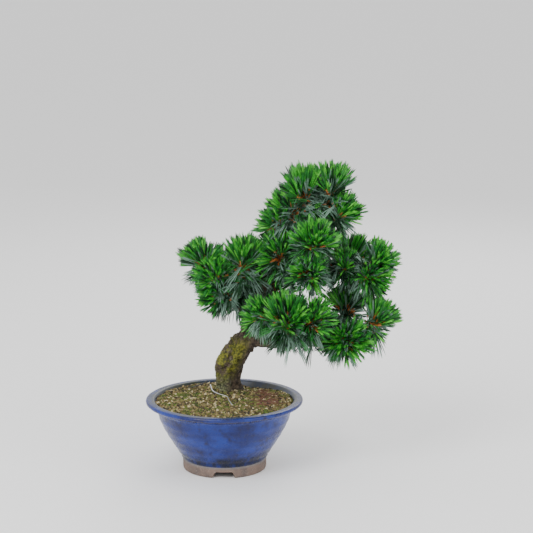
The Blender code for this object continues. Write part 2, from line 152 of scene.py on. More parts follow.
# %% Noise for relief
PLACE_PRIMES = (73856093, 19349663, 83492791)
SEED_PRIME = 2654435761
MIX_FACTOR = 1103515245
MIX_ADD = 12345
LOW_BITS = 0x7FFFFFFF
NOISE_STEPS = 20011


def lattice_noise(points, size, seed):
    """Noise from -1 to 1: corner values weighted by products of 3t^2 - 2t^3 along each axis,
    where t is how far the point is through its cell."""
    scaled = np.asarray(points) / size
    cell = np.floor(scaled).astype(np.int64)
    part = scaled - cell
    part = part * part * (3.0 - 2.0 * part)
    total = np.zeros(len(scaled))
    for corner in np.ndindex(2, 2, 2):
        place = cell + np.array(corner)
        spread = place * np.array(PLACE_PRIMES)
        mixed = spread[:, 0] ^ spread[:, 1] ^ spread[:, 2]
        mixed = (mixed ^ (seed * SEED_PRIME)) & LOW_BITS
        mixed = (mixed * MIX_FACTOR + MIX_ADD) & LOW_BITS
        value = ((mixed >> 8) % NOISE_STEPS) / (0.5 * (NOISE_STEPS - 1)) - 1.0
        weight = np.prod(np.where(np.array(corner) == 1, part, 1.0 - part), axis=1)
        total += weight * value
    return total


print("noise has", NOISE_STEPS, "levels")

# %% [markdown]
# The floor is a wide pale sheet, so wide that its far edge lies above the picture. Its plain
# material comes from a helper that the needles and the grains use too.

# %% Floor
FLOOR_HALF = 60.0


def plain(name, colour, roughness, **more):
    """A Principled material with one colour."""
    made = bpy.data.materials.new(name)
    made.use_nodes = True
    shader = made.node_tree.nodes["Principled BSDF"]
    shader.inputs["Base Color"].default_value = (*colour, 1.0)
    shader.inputs["Roughness"].default_value = roughness
    for socket, value in more.items():
        shader.inputs[socket.replace("_", " ").title()].default_value = value
    return made


corners = np.array([(-1.0, -1.0, 0.0), (1.0, -1.0, 0.0), (1.0, 1.0, 0.0), (-1.0, 1.0, 0.0)])
pale_floor = plain("pale_floor", (0.9, 0.9, 0.9), 0.9)
floor = piece("floor", FLOOR_HALF * corners, [(0, 1, 2, 3)], [pale_floor])
print("floor is", 2.0 * FLOOR_HALF, "m wide")

# %% [markdown]
# A finish is a small network of shader nodes. One helper makes a node and fills its inputs,
# each with a number or with a link from another node, so that a network reads as nested calls.

# %% Nodes
def add_node(tree, kind, inputs, **settings):
    """The outputs of a new shader node, after its settings and then its inputs are filled."""
    made = tree.nodes.new("ShaderNode" + kind)
    for name, value in settings.items():
        setattr(made, name, value)
    for key, source in inputs.items():
        if isinstance(source, bpy.types.NodeSocket):
            tree.links.new(source, made.inputs[key])
        else:
            made.inputs[key].default_value = source
    return made.outputs


print("a node is one call")

# %% [markdown]
# Several finishes share one effect: patches of a second colour that come and go. It is made
# once as a node group. Each material sets the size of its patches and how sharply they end.
# The group only puts out a mask, and the shader stays in the material itself.

# %% Patch group
def make_patch_group():
    """Noise of a given scale, turned by a threshold and a softness into a mask."""
    tree = bpy.data.node_groups.new("patches", "ShaderNodeTree")
    for name, value in (("Scale", 50.0), ("Level", 0.5), ("Softness", 0.1)):
        socket = tree.interface.new_socket(name, in_out="INPUT", socket_type="NodeSocketFloat")
        socket.default_value = value
    tree.interface.new_socket("Vector", in_out="INPUT", socket_type="NodeSocketVector")
    tree.interface.new_socket("Mask", in_out="OUTPUT", socket_type="NodeSocketFloat")
    given = tree.nodes.new("NodeGroupInput").outputs
    noise = add_node(tree, "TexNoise", {"Vector": given["Vector"], "Scale": given["Scale"],
                                        "Detail": 6.0, "Roughness": 0.6})
    edges = {0: given["Level"], 1: given["Softness"]}
    low = add_node(tree, "Math", edges, operation="SUBTRACT")
    high = add_node(tree, "Math", edges, operation="ADD")
    ramp = {"Value": noise["Fac"], "From Min": low[0], "From Max": high[0]}
    mask = add_node(tree, "MapRange", ramp, interpolation_type="SMOOTHSTEP")["Result"]
    tree.links.new(mask, tree.nodes.new("NodeGroupOutput").inputs["Mask"])
    return tree


PATCHES = make_patch_group()
print("patch group has", len(PATCHES.nodes), "nodes")

# %% [markdown]
# A glaze or a bark is a stack: a colour, then another one laid over it where a mask is white,
# and so on. A small class keeps the nodes of one material and adds such layers to it.

# %% Layers of a finish
class Finish:
    """A material in the making: a Principled shader with a few chains of nodes."""

    def __init__(self, name, roughness):
        self.material = bpy.data.materials.new(name)
        self.material.use_nodes = True
        self.tree = self.material.node_tree
        self.shader = self.tree.nodes["Principled BSDF"].inputs
        self.shader["Roughness"].default_value = roughness
        self.place = add_node(self.tree, "TexCoord", {})["Object"]

    def mask(self, scale, level, softness, stretch=(1.0, 1.0, 1.0)):
        """Patches read from the object's own place, stretched along its axes."""
        place = add_node(self.tree, "Mapping", {"Vector": self.place, "Scale": stretch})
        inputs = {"Vector": place["Vector"], "Scale": scale, "Level": level, "Softness": softness}
        return add_node(self.tree, "Group", inputs, node_tree=PATCHES)["Mask"]

    def ramp(self, source, start, end, low=0.0, high=1.0):
        """Low at and below the start value, high at and above the end value."""
        inputs = {"Value": source, "From Min": start, "From Max": end,
                  "To Min": low, "To Max": high}
        return add_node(self.tree, "MapRange", inputs)["Result"]

    def height_mask(self, start, end):
        """A ramp of the height, in metres."""
        axes = add_node(self.tree, "SeparateXYZ", {"Vector": self.place})
        return self.ramp(axes["Z"], start, end)

    def times(self, one, other):
        """The product of two masks."""
        return add_node(self.tree, "Math", {0: one, 1: other}, operation="MULTIPLY")[0]

    def mix(self, mask, under, over):
        """Two colours, or two chains that end in a colour, mixed by a mask."""
        under, over = ((*source, 1.0) if isinstance(source, tuple) else source
                       for source in (under, over))
        return add_node(self.tree, "Mix", {0: mask, 6: under, 7: over}, data_type="RGBA")[2]

    def stack(self, colour, *layers):
        """A colour with others laid over it in turn, each where its own mask is white."""
        for mask, over in layers:
            colour = self.mix(mask, colour, over)
        return colour

    def drive(self, name, source):
        """Link the end of a chain to an input of the shader."""
        self.tree.links.new(source, self.shader[name])

    def bump(self, mask, depth, strength):
        """Fine relief from a mask, in metres."""
        inputs = {"Height": mask, "Distance": depth, "Strength": strength}
        self.drive("Normal", add_node(self.tree, "Bump", inputs)["Normal"])


print("a finish has masks, ramps, mixes and bumps")

# %% [markdown]
# The pot was turned on a wheel, so it is one profile carried round the axis. The profile goes
# over the rolled lip, down the outside, past the ledge over the foot, under the foot ring,
# through the drain hole and up the inside of the wall. Each point is a radius and a height.

# %% Profile of the pot
POT_PROFILE = (
    (0.1125, 0.1131), (0.1140, 0.1135), (0.1190, 0.1135), (0.1230, 0.1133), (0.1247, 0.1122),
    (0.1250, 0.1104), (0.1246, 0.1086), (0.1230, 0.1070), (0.1195, 0.1058), (0.1150, 0.1036),
    (0.1105, 0.1005), (0.1080, 0.0980), (0.1062, 0.0920), (0.1038, 0.0830), (0.1001, 0.0745),
    (0.0960, 0.0660), (0.0912, 0.0575), (0.0860, 0.0490), (0.0813, 0.0415), (0.0765, 0.0340),
    (0.0730, 0.0285), (0.0703, 0.0252), (0.0694, 0.0235), (0.0694, 0.0210), (0.0684, 0.0195),
    (0.0670, 0.0180), (0.0669, 0.0120), (0.0668, 0.0040), (0.0662, 0.0008), (0.0650, 0.0000),
    (0.0580, 0.0000), (0.0565, 0.0006), (0.0560, 0.0020), (0.0560, 0.0110), (0.0545, 0.0120),
    (0.0100, 0.0120), (0.0100, 0.0200), (0.0561, 0.0200), (0.0689, 0.0357), (0.0875, 0.0660),
    (0.0995, 0.0946), (0.1080, 0.1070))


def finer(profile, longest):
    """The closed profile with straight stretches split, none longer than a given length."""
    ends = np.array(profile)
    found = []
    for start, end in zip(ends, np.roll(ends, -1, axis=0)):
        parts = max(1, math.ceil(np.linalg.norm(end - start) / longest))
        found.append(start + (end - start) * np.linspace(0.0, 1.0, parts, endpoint=False)[:, None])
    return np.concatenate(found)


profile = finer(POT_PROFILE, 0.003)
print("profile has", len(profile), "points")

# %% [markdown]
# Hands leave traces: the round is a little oval, and shallow ridges run round the wall. Three
# arched notches in the foot let water out. A notch is a smooth rise of the foot's lowest
# points, so the wall stays whole and needs no cut.

# %% Turned points of the pot
TURN_STEPS = 432
OVAL_SWAY = 0.00035
RIDGE_SWAY = 0.00020
RIDGE_LENGTH = 0.0021
SWAY_FADE = 0.03
NOTCH_ANGLES = (-90.0, 30.0, 150.0)
NOTCH_HEIGHT = 0.0105
NOTCH_HALF_FOOT = 0.0170
NOTCH_HALF_TOP = 0.0105
FOOT_MIDDLE = 0.061
FOOT_INSIDE = 0.0555
UNDERSIDE = 0.0115


def pot_points(profile):
    """Each profile point turned round the axis. The radius sways with the sine of twice the
    angle and of the height. Near a notch the height is raised to the arch, a sine of how far
    the point is inside the notch's edge."""
    around = np.linspace(0.0, 2.0 * math.pi, TURN_STEPS, endpoint=False)
    radius, angle = np.meshgrid(profile[:, 0], around, indexing="ij")
    height = np.repeat(profile[:, 1:2], TURN_STEPS, axis=1)
    sway = OVAL_SWAY * np.sin(2.0 * angle + 0.7) + RIDGE_SWAY * np.sin(height / RIDGE_LENGTH)
    sway = sway * np.clip(height / SWAY_FADE, 0.0, 1.0)
    radius = radius + np.where(radius > 0.057, sway, 0.0)
    for middle in NOTCH_ANGLES:
        turned = (angle - math.radians(middle) + math.pi) % (2.0 * math.pi) - math.pi
        off = np.abs(turned) * FOOT_MIDDLE
        share = np.clip((NOTCH_HALF_FOOT - off) / (NOTCH_HALF_FOOT - NOTCH_HALF_TOP), 0.0, 1.0)
        arch = np.minimum(NOTCH_HEIGHT * np.sin(0.5 * math.pi * share) ** 0.8, UNDERSIDE)
        height = np.where(radius > FOOT_INSIDE, np.maximum(height, arch), height)
    points = np.stack((radius * np.cos(angle), radius * np.sin(angle), height), axis=-1)
    return points.reshape(-1, 3) + POT_AXIS


points = pot_points(profile)
faces = grid_faces(len(profile), TURN_STEPS, close_rows=True)[:, ::-1]
print("pot has", len(faces), "faces")

# %% [markdown]
# The glaze is cobalt blue. It is lighter where it pooled in streaks, nearly black in a band over the
# foot, and thin and brownish where it ran off under the lip. A few pale flecks and a
# soft unevenness keep it from looking like paint. Paler grey-blue patches on the top of the lip
# are a painted highlight.

# %% Cobalt glaze
GLAZE = {
    "deep": (0.008, 0.013, 0.090),
    "pooled": (0.014, 0.036, 0.240),
    "cloud": (0.010, 0.012, 0.060),
    "fleck": (0.10, 0.15, 0.33),
    "low_band": (0.004, 0.006, 0.020),
    "thin": (0.055, 0.045, 0.040),
    # paler grey-blue on the top of the lip: a painted highlight
    "painted_lip_highlight": (0.028, 0.040, 0.075),
}


def glaze_finish():
    """The first colour, and each of the others laid over it by the mask of its place."""
    look = Finish("cobalt_glaze", 0.16)
    streaks = look.mask(16.0, 0.50, 0.16, (1.0, 1.0, 2.4))
    clouds = look.mask(60.0, 0.60, 0.10)
    flecks = look.mask(420.0, 0.72, 0.03)
    band = look.times(look.height_mask(0.040, 0.030), look.mask(70.0, 0.42, 0.16, (1.0, 1.0, 0.3)))
    neck = look.times(look.height_mask(0.1015, 0.1045), look.height_mask(0.1082, 0.1058))
    # patches on the top of the lip, where the painted highlight is laid
    top = look.times(look.height_mask(0.1129, 0.1134), look.mask(90.0, 0.48, 0.2))
    first, *others = GLAZE.values()
    layers = zip((streaks, clouds, flecks, band, neck, top), others)
    look.drive("Base Color", look.stack(first, *layers))
    look.drive("Roughness", look.ramp(look.mask(130.0, 0.5, 0.2), 0.0, 1.0, 0.20, 0.38))
    look.bump(look.mask(240.0, 0.5, 0.3), 0.0002, 0.35)
    look.shader["Specular IOR Level"].default_value = 0.32
    return look.material


cobalt_glaze = glaze_finish()
print("glaze has", len(GLAZE), "colours")

# %% [markdown]
# Inside, the glaze is thin, grey and olive. The foot was left bare, so that it didn't stick to
# the kiln's shelf: fired clay, brown-grey and stained, with a sandy grain.

# %% Inner glaze and clay
INNER_GLAZE = ((0.034, 0.038, 0.026), (0.016, 0.028, 0.075), (0.03, 0.03, 0.03))
CLAY = ((0.200, 0.135, 0.105), (0.105, 0.080, 0.070), (0.170, 0.165, 0.165), (0.30, 0.25, 0.21))


def inner_glaze_finish():
    """Olive and blue-grey patches with dark specks over them."""
    olive, blue, speck = INNER_GLAZE
    look = Finish("inner_glaze", 0.35)
    look.drive("Base Color", look.stack(olive, (look.mask(40.0, 0.5, 0.2), blue),
                                        (look.mask(150.0, 0.62, 0.08), speck)))
    look.bump(look.mask(200.0, 0.5, 0.3), 0.0002, 0.4)
    return look.material


def clay_finish():
    """Brown clay with darker stains, paler towards its top, and light grains of sand."""
    brown, stain, pale, sand = CLAY
    look = Finish("bare_clay", 0.9)
    look.drive("Base Color", look.stack(brown, (look.mask(50.0, 0.5, 0.2), stain),
                                        (look.height_mask(0.0140, 0.0185), pale),
                                        (look.mask(600.0, 0.62, 0.05), sand)))
    look.bump(look.mask(700.0, 0.5, 0.3), 0.0003, 0.6)
    return look.material


inner_glaze, bare_clay = inner_glaze_finish(), clay_finish()
print(inner_glaze.name, "and", bare_clay.name)

# %% [markdown]
# A face of the pot gets its finish from its place: clay below the ledge, thin glaze inside a
# line in the middle of the wall, and cobalt glaze everywhere else.

# %% Pot
FOOT_TOP = 0.0185
WALL_HEIGHTS = (0.02, 0.05, 0.0946, 0.1134)
WALL_RADII = (0.062, 0.082, 0.1035, 0.1165)

middle = points[faces].mean(axis=1) - POT_AXIS
inside = np.hypot(middle[:, 0], middle[:, 1]) < np.interp(middle[:, 2], WALL_HEIGHTS, WALL_RADII)
slots = np.where(middle[:, 2] < FOOT_TOP, 2, np.where(inside, 1, 0))
pot = piece("glazed_pot", points, faces, [cobalt_glaze, inner_glaze, bare_clay], slots)
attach(pot, "root")
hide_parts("pot")
print("clay faces", int(np.count_nonzero(slots == 2)))

# %% [markdown]
# The soil rises to the trunk and has sunk a little beside the wall at the back. One function
# gives its height everywhere, and the grains, the moss and the wires all use it. A dark disc
# of soil under the grains closes the view between them, and its dark colour is painted shade in
# the gaps.

# %% Ground
SEED = 2311
SOIL_LEVEL = 0.1085
SOIL_EDGE = 0.1095
TRUNK_FOOT = (0.0055, 0.0460)
MOUND_HEIGHT = 0.0090
MOUND_SPREAD = 0.030
DIP_PLACE = (0.045, 0.100)
DIP_DEPTH = 0.0070
DIP_SPREAD = 0.035
GROUND_STEPS = 96
GROUND_RINGS = 40
GROUND_DEPTH = 0.0025

random = np.random.default_rng(SEED)


def soil_height(x, y):
    """Level ground plus a bell curve of the distance to the trunk, minus one at the dip."""
    to_trunk = (x - TRUNK_FOOT[0]) ** 2 + (y - TRUNK_FOOT[1]) ** 2
    to_dip = (x - DIP_PLACE[0]) ** 2 + (y - DIP_PLACE[1]) ** 2
    rise = MOUND_HEIGHT * np.exp(-to_trunk / (2.0 * MOUND_SPREAD ** 2))
    return SOIL_LEVEL + rise - DIP_DEPTH * np.exp(-to_dip / (2.0 * DIP_SPREAD ** 2))


steps = np.linspace(0.0, 2.0 * math.pi, GROUND_STEPS, endpoint=False)
rings = np.concatenate(([0.0005], np.linspace(0.004, SOIL_EDGE, GROUND_RINGS)))
x, y = np.outer(rings, np.cos(steps)).ravel(), np.outer(rings, np.sin(steps)).ravel()
ground_points = np.stack((x, y, soil_height(x, y) - GROUND_DEPTH), axis=-1) + POT_AXIS
# the disc's dark brown is painted shade between the grains
ground = piece("soil_ground", ground_points, grid_faces(len(rings), GROUND_STEPS)[:, ::-1],
               [plain("soil_painted_gap_shade", (0.060, 0.045, 0.028), 0.95)])
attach(ground, "root")
print("soil is", round(float(ground_points[:, 2].max()), 4), "m high at most")

# %% [markdown]
# Grains, moss and fallen needles are each one small lump repeated many times, with its own
# stretch, turn and place. The lump is a cube with uneven corners, so it has six faces. Turns
# come from random quaternions of length one, because those favour no direction.

# %% Many small lumps
LUMP_REACH = (1.0, 0.82, 1.12, 0.9, 0.86, 1.1, 0.95, 0.8)
LUMP_FACES = np.array([(0, 1, 3, 2), (4, 6, 7, 5), (0, 4, 5, 1), (2, 3, 7, 6), (0, 2, 6, 4),
                       (1, 5, 7, 3)])
LUMP = np.array([(a, b, c) for a in (-1, 1) for b in (-1, 1) for c in (-1, 1)], dtype=float)
LUMP *= np.array(LUMP_REACH)[:, None]


def on_soil(count, edge):
    """Places spread evenly over a disc: the reach goes with the root of a random number."""
    reach = edge * np.sqrt(random.random(count))
    around = 2.0 * math.pi * random.random(count)
    return reach * np.cos(around), reach * np.sin(around)


def random_turns(count):
    """A turn for each of a number of pieces, from random unit quaternions."""
    quats = random.normal(size=(count, 4))
    w, x, y, z = (quats / np.linalg.norm(quats, axis=1, keepdims=True)).T
    rows = ((1 - 2 * (y * y + z * z), 2 * (x * y - z * w), 2 * (x * z + y * w)),
            (2 * (x * y + z * w), 1 - 2 * (x * x + z * z), 2 * (y * z - x * w)),
            (2 * (x * z - y * w), 2 * (y * z + x * w), 1 - 2 * (x * x + y * y)))
    return np.stack([np.stack(row, axis=-1) for row in rows], axis=1)


def lumps(name, turns, places, sizes, colours, shades, roughness=0.95):
    """One piece of many lumps: the lump's points times the sizes, turned, plus the place. Each
    shade is the number of a lump's colour."""
    stretched = LUMP[None] * sizes[:, None, :]
    points = np.einsum("nij,nkj->nki", turns, stretched) + places[:, None, :] + POT_AXIS
    steps = np.arange(len(places))[:, None, None] * len(LUMP)
    faces = (LUMP_FACES[None] + steps).reshape(-1, 4)
    looks = [plain(look, colour, roughness) for look, colour in colours.items()]
    slots = np.repeat(shades, len(LUMP_FACES))
    made = piece(name, points.reshape(-1, 3), faces, looks, slots, smooth=False)
    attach(made, "root")
    return made


print("a lump has", len(LUMP_FACES), "faces")

# %% [markdown]
# The grains are baked clay and pumice, about 2 to 5 mm across, in tan, brown, cream and olive.
# They lie at slightly different depths. Each one has a plain colour dealt out by chance.

# %% Grains
GRAIN_COUNT = 8000
GRAIN_SIZES = (0.0009, 0.0023)
GRAIN_DEPTH = 0.0012
GRAIN_LIFT = 0.0018
GRAIN_COLOURS = {"grain_tan": (0.25, 0.19, 0.08), "grain_brown": (0.13, 0.095, 0.035),
                 "grain_dark": (0.055, 0.040, 0.018), "grain_cream": (0.50, 0.42, 0.24),
                 "grain_olive": (0.11, 0.12, 0.025), "grain_damp": (0.030, 0.024, 0.014)}
GRAIN_SHARES = (0.18, 0.22, 0.18, 0.08, 0.20, 0.14)

x, y = on_soil(GRAIN_COUNT, SOIL_EDGE - 0.002)
size = random.uniform(*GRAIN_SIZES, GRAIN_COUNT)
height = soil_height(x, y) - GRAIN_DEPTH + random.random(GRAIN_COUNT) * GRAIN_LIFT
stretch = size[:, None] * random.uniform(0.75, 1.25, (GRAIN_COUNT, 3))
turns = random_turns(GRAIN_COUNT)
shades = random.choice(len(GRAIN_SHARES), GRAIN_COUNT, p=GRAIN_SHARES)
grains = lumps("soil_grains", turns, np.stack((x, y, height), -1), stretch, GRAIN_COLOURS, shades)
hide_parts("soil")
print("soil has", len(shades), "grains")

# %% [markdown]
# Moss grows in clumps between the grains. A number of clump places is drawn, and the bits of
# moss fall round them in a bell curve.

# %% Moss
MOSS_COUNT = 5200
MOSS_CLUMPS = 60
CLUMP_SPREAD = 0.0035
MOSS_SIZES = (0.0005, 0.0014)
MOSS_LIFT = 0.0008
MOSS_COLOURS = {"moss_dark": (0.025, 0.045, 0.008), "moss_light": (0.11, 0.16, 0.02)}

clumps = np.stack(on_soil(MOSS_CLUMPS, SOIL_EDGE - 0.010), -1)
spots = clumps[random.integers(0, MOSS_CLUMPS, MOSS_COUNT)]
spots = spots + random.normal(size=(MOSS_COUNT, 2)) * CLUMP_SPREAD
spots = spots[np.hypot(spots[:, 0], spots[:, 1]) < SOIL_EDGE - 0.003]
places = np.column_stack((spots, soil_height(spots[:, 0], spots[:, 1]) + MOSS_LIFT))
stretch = random.uniform(*MOSS_SIZES, (len(spots), 3))
turns = random_turns(len(spots))
shades = random.integers(0, len(MOSS_COLOURS), len(spots))
lumps("soil_moss", turns, places, stretch, MOSS_COLOURS, shades)
print("bits of moss", len(spots))

# %% [markdown]
# Dry needles have fallen at the right. They lie flat, so each is only turned about the upright
# axis, by a limited angle, and all point roughly the same way.

# %% Fallen needles
DEAD_COUNT = 130
DEAD_ACROSS = (0.048, 0.104)
DEAD_DEEP = (-0.035, 0.060)
DEAD_LENGTHS = (0.008, 0.017)
DEAD_THICKNESS = 0.0004
DEAD_LIFT = 0.0024
DEAD_COLOUR = {"dry_needle": (0.13, 0.050, 0.024)}

x, y = random.uniform(*DEAD_ACROSS, DEAD_COUNT), random.uniform(*DEAD_DEEP, DEAD_COUNT)
inside_wall = np.hypot(x, y) < SOIL_EDGE - 0.020
x, y = x[inside_wall], y[inside_wall]
around = random.uniform(-0.9, 0.9, len(x)) + 0.3
zero, one = np.zeros(len(x)), np.ones(len(x))
rows = ((np.cos(around), -np.sin(around), zero), (np.sin(around), np.cos(around), zero),
        (zero, zero, one))
flat = np.stack([np.stack(row, axis=-1) for row in rows], axis=1)
stretch = np.column_stack((random.uniform(*DEAD_LENGTHS, len(x)), one * DEAD_THICKNESS,
                           one * DEAD_THICKNESS))
places = np.stack((x, y, soil_height(x, y) + DEAD_LIFT), -1)
lumps("dead_needles", flat, places, stretch, DEAD_COLOUR, np.zeros(len(x), dtype=int), 0.8)
print("fallen needles", len(x))

# %% [markdown]
# The trunk leans out and then climbs. Each place is measured from the middle of the pot's foot,
# from the soil to the tip. They follow the solid trunk, but for the second place, which stands
# straight over the first.

# %% Route of the trunk
GROUND = 0.1120
TRUNK_ROUTE = (
    (0.0055, 0.0460, GROUND), (0.0055, 0.0460, 0.1260), (0.0055, 0.0420, 0.1480),
    (0.0115, 0.0385, 0.1680), (0.0235, 0.0340, 0.1880), (0.0370, 0.0300, 0.2060),
    (0.0465, 0.0270, 0.2340), (0.0520, 0.0240, 0.2680), (0.0630, 0.0200, 0.3010),
    (0.0840, 0.0150, 0.3310), (0.1040, 0.0100, 0.3600), (0.1170, 0.0060, 0.3920),
    (0.1260, 0.0020, 0.4180), (0.1300, 0.0000, 0.4400))
TRUNK_RADII = (0.0215, 0.0195, 0.0205, 0.0212, 0.0205, 0.0178, 0.0110,
               0.0085, 0.0075, 0.0065, 0.0055, 0.0045, 0.0035, 0.0025)
print("trunk has", len(TRUNK_ROUTE), "places")

# %% [markdown]
# Each bough has a row: the limb that it leaves and how far along that limb, the places it
# passes, and its radius where it leaves and where it ends. All but two end in the mass of
# needles with their own name. The solids have these names too, after bough_ and foliage_.

# %% Boughs
BOUGHS = {
    "low_right": ("trunk", 0.275, ((0.074, 0.015, 0.203), (0.110, 0.000, 0.2065),
        (0.148, -0.012, 0.2085), (0.195, -0.015, 0.218)), 0.0125, 0.004),
    "low_right_back": ("low_right", 0.60, ((0.174, 0.012, 0.224),), 0.005, 0.003),
    "low_right_front": ("low_right", 0.62, ((0.180, -0.033, 0.214),), 0.0048, 0.0028),
    "front": ("low_right", 0.28, ((0.096, -0.025, 0.216), (0.099, -0.052, 0.233)), 0.0065, 0.0034),
    "front_left": ("front", 0.52, ((0.085, -0.047, 0.238),), 0.0036, 0.0024),
    "front_right": ("front", 0.58, ((0.114, -0.055, 0.238),), 0.0036, 0.0024),
    "left": ("trunk", 0.315, ((0.030, 0.023, 0.244), (0.022, 0.018, 0.264),
        (0.006, 0.013, 0.284), (-0.011, 0.008, 0.305)), 0.006, 0.0028),
    "left_riser": ("left", 0.40, ((0.026, 0.014, 0.288),), 0.004, 0.0026),
    "left_back": ("left", 0.55, ((-0.001, 0.033, 0.290),), 0.0036, 0.0024),
    "back_low": ("trunk", 0.385, ((0.055, 0.052, 0.250),), 0.0055, 0.003),
    "right": ("trunk", 0.635, ((0.115, 0.019, 0.325), (0.160, 0.019, 0.321),
        (0.205, 0.012, 0.322)), 0.0058, 0.0028),
    "right_back": ("right", 0.48, ((0.174, 0.035, 0.319),), 0.0036, 0.0024),
    "back_high": ("trunk", 0.7, ((0.096, 0.043, 0.343),), 0.0044, 0.0026),
    "centre": ("trunk", 0.755, ((0.116, -0.009, 0.360),), 0.0042, 0.0026),
    "centre_low": ("trunk", 0.65, ((0.098, -0.008, 0.321),), 0.004, 0.0026),
    "shoulder": ("trunk", 0.775, ((0.100, 0.003, 0.372),), 0.0036, 0.0024),
    "top_side": ("trunk", 0.83, ((0.142, 0.003, 0.386),), 0.0036, 0.0024),
    "top_back": ("trunk", 0.87, ((0.128, 0.023, 0.398),), 0.0034, 0.0022),
    "top_right": ("trunk", 0.905, ((0.143, 0.003, 0.418),), 0.0036, 0.0024),
}
OTHER_MASS = {"left": "left_far", "left_riser": "left_mid"}
print(len(BOUGHS), "boughs")

# %% [markdown]
# Each mass of needles has a row too: the place that its shoots spread from, the way they face,
# how far they reach, half the angle of the spread in degrees, and the number of main shoots.

# %% Masses of needles
MASSES = {
    "top": ((0.127, -0.002, 0.432), (-0.10, -0.05, 1.00), 0.065, 26, 5),
    "top_right": ((0.166, 0.000, 0.438), (0.22, 0.00, 1.00), 0.062, 34, 5),
    "top_left": ((0.107, -0.006, 0.412), (-0.62, -0.25, 0.85), 0.052, 34, 4),
    "top_side": ((0.176, -0.004, 0.407), (0.75, -0.15, 0.65), 0.051, 46, 5),
    "top_back": ((0.140, 0.045, 0.408), (0.10, 0.85, 0.60), 0.058, 50, 5),
    "shoulder": ((0.089, -0.004, 0.392), (-0.72, -0.15, 0.62), 0.046, 46, 4),
    "centre": ((0.141, -0.048, 0.368), (0.00, -0.60, 0.70), 0.050, 58, 6),
    "centre_low": ((0.135, -0.045, 0.324), (0.10, -0.80, 0.20), 0.044, 62, 5),
    "waist": ((0.088, -0.006, 0.344), (-0.62, -0.45, 0.35), 0.050, 58, 5),
    "right": ((0.238, 0.000, 0.331), (0.66, -0.10, 0.66), 0.045, 48, 5),
    "right_low": ((0.226, -0.012, 0.314), (0.50, -0.45, -0.20), 0.046, 56, 5),
    "right_inner": ((0.190, 0.006, 0.322), (-0.10, -0.25, 1.00), 0.040, 50, 4),
    "right_back": ((0.198, 0.060, 0.322), (0.30, 0.85, 0.35), 0.056, 56, 5),
    "left_far": ((-0.030, 0.003, 0.327), (-0.66, -0.05, 0.70), 0.052, 38, 5),
    "left_mid": ((0.031, 0.000, 0.322), (0.06, -0.15, 1.00), 0.062, 34, 6),
    "left_top": ((-0.010, -0.009, 0.309), (-0.32, -0.65, 0.55), 0.046, 52, 5),
    "left_low": ((-0.001, -0.004, 0.281), (-0.85, -0.30, -0.05), 0.048, 50, 5),
    "left_back": ((-0.006, 0.058, 0.298), (-0.40, 0.85, 0.35), 0.056, 56, 5),
    "front": ((0.100, -0.080, 0.252), (0.00, -0.60, 0.85), 0.060, 50, 6),
    "front_left": ((0.063, -0.066, 0.259), (-0.70, -0.45, 0.45), 0.043, 50, 5),
    "front_right": ((0.136, -0.074, 0.254), (0.60, -0.50, 0.45), 0.048, 52, 5),
    "front_under": ((0.096, -0.066, 0.233), (0.00, -0.60, -0.75), 0.029, 56, 4),
    "low_right": ((0.234, -0.016, 0.238), (0.68, -0.15, 0.58), 0.051, 50, 6),
    "low_right_front": ((0.190, -0.048, 0.220), (0.15, -0.75, -0.15), 0.050, 60, 6),
    "low_right_back": ((0.194, 0.028, 0.246), (0.05, 0.40, 0.90), 0.052, 54, 6),
    "back_low": ((0.070, 0.078, 0.268), (0.05, 0.80, 0.50), 0.060, 56, 6),
    "back_high": ((0.104, 0.074, 0.340), (0.00, 0.80, 0.55), 0.058, 56, 6),
}
print(len(MASSES), "masses")

# %% [markdown]
# Every limb and wire is a tube carried along a smooth curve through a few places. The frame
# across the curve is handed on from ring to ring and only straightened, so the skin of a tube
# doesn't twist. A first and a last ring of nearly no width close the ends.

# %% Tubes along curves
END_SHARE = 0.0005


def smooth_route(knots, per_span):
    """A Catmull-Rom curve: it passes each knot along the line between the knot's neighbours."""
    knots = np.array(knots, dtype=float)
    knots = np.vstack((2.0 * knots[0] - knots[1], knots, 2.0 * knots[-1] - knots[-2]))
    t = np.linspace(0.0, 1.0, per_span, endpoint=False)[None, :, None]
    a, b, c, d = (knots[n:len(knots) - 3 + n, None, :] for n in range(4))
    curve = 0.5 * (2.0 * b + (c - a) * t + (2.0 * a - 5.0 * b + 4.0 * c - d) * t ** 2
                   + (3.0 * b - a - 3.0 * c + d) * t ** 3)
    return np.vstack((curve.reshape(-1, 3), knots[-2]))


def place_along(route, share):
    """The point at this share of the route's length."""
    passed = np.concatenate(([0.0], np.cumsum(np.linalg.norm(np.diff(route, axis=0), axis=1))))
    return np.array([np.interp(share * passed[-1], passed, route[:, axis]) for axis in range(3)])


def tube(route, radii, sides):
    """Rings of points: the route plus the radius times a side direction's cosine and its
    partner's sine. Also gives the outward directions."""
    route = np.vstack((route[0], route, route[-1]))
    radii = np.concatenate(([END_SHARE * radii[0]], radii, [END_SHARE * radii[-1]]))
    way = np.gradient(route, axis=0)
    way[0], way[-1] = way[1], way[-2]
    way /= np.linalg.norm(way, axis=1, keepdims=True)
    side = np.empty_like(way)
    last = np.array((0.0, 1.0, 0.0)) if abs(way[0][1]) < 0.9 else np.array((1.0, 0.0, 0.0))
    for index, forward in enumerate(way):
        last = last - forward * last.dot(forward)
        last /= np.linalg.norm(last)
        side[index] = last
    other = np.cross(way, side)
    around = np.linspace(0.0, 2.0 * math.pi, sides, endpoint=False)
    cosine, sine = np.cos(around)[None, :, None], np.sin(around)[None, :, None]
    outward = side[:, None] * cosine + other[:, None] * sine
    return route[:, None] + outward * radii[:, None, None], outward


print("a tube's ends shrink to", END_SHARE)

# %% [markdown]
# Bark relief has three sizes: slow knobs, plates with steep edges, and grit. Plates are longer
# along a trunk than round it, so the noise is stretched upward, and a hyperbolic tangent
# flattens their tops.

# %% Bark relief
KNOB_SIZE = 0.016
PLATE_SIZE = 0.0055
GRIT_SIZE = 0.0018


